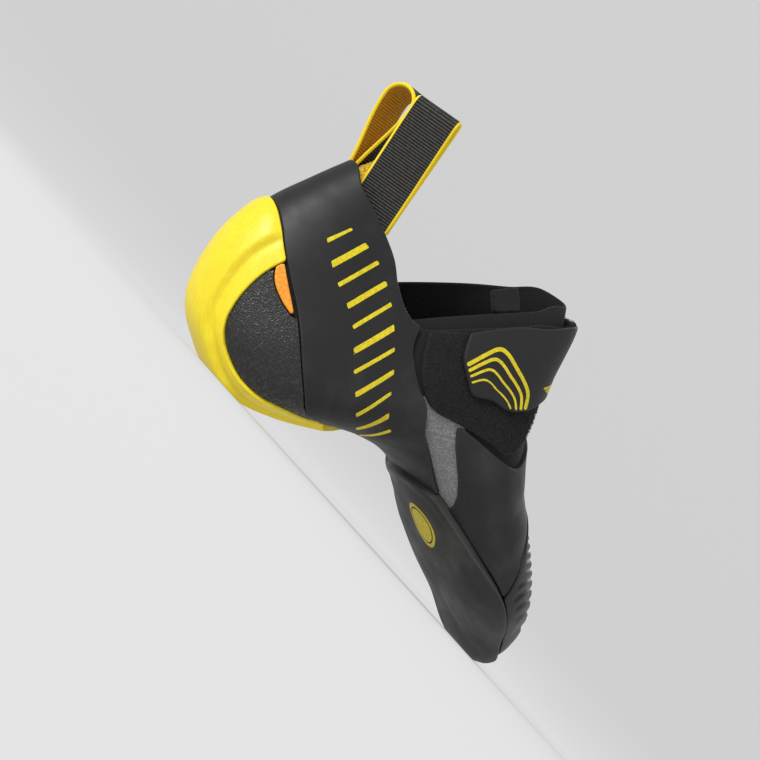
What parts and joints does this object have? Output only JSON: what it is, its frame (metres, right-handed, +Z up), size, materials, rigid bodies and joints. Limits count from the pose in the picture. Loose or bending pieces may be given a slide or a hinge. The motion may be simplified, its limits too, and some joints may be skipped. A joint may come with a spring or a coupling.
{
  "type": "climbing shoe",
  "caption": "Right climbing shoe: downturned soft slipper with half sole, wrapped heel, rubber tension band, one instep strap and two webbing pull loops.",
  "frame": {"origin": "the middle of the flat spot on which the heel rests on the floor", "axes": "+X to the toe, +Y to the inner side with the big toe, +Z up from the floor"},
  "size_m": [0.2371, 0.0966, 0.1342],
  "materials": {
    "suede_grey": "napped grey suede",
    "lining_black": "fine knitted black cloth",
    "sole_rubber": "brushed matt black rubber",
    "yellow_rubber": "smooth lemon yellow rubber",
    "band_rubber": "smooth satin charcoal rubber",
    "panel_rubber": "textured black rubber with a faint sparkle",
    "orange_rubber": "orange rubber",
    "fuzzy_loop": "fuzzy hook-and-loop pile",
    "strap_cloth": "charcoal strap with yellow stripes",
    "yellow_cloth": "brushed yellow lining",
    "webbing": "ribbed black and grey webbing with yellow edges"
  },
  "bodies": {
    "root": {"upper": "suede_grey", "insole": "lining_black", "outsole": "sole_rubber", "heel_rubber": "yellow_rubber", "tension_band": "band_rubber", "heel_panel_lateral": "panel_rubber", "heel_panel_medial": "panel_rubber", "heel_inlay": "orange_rubber", "vamp_panel": "band_rubber", "toe_rubber": "sole_rubber", "loop_patch": "fuzzy_loop", "strap": "strap_cloth", "tongue": "lining_black", "tongue_tab": "lining_black", "heel_tab": "yellow_cloth", "pull_loop_lateral": "webbing", "pull_loop_medial": "webbing"}
  },
  "joints": []
}
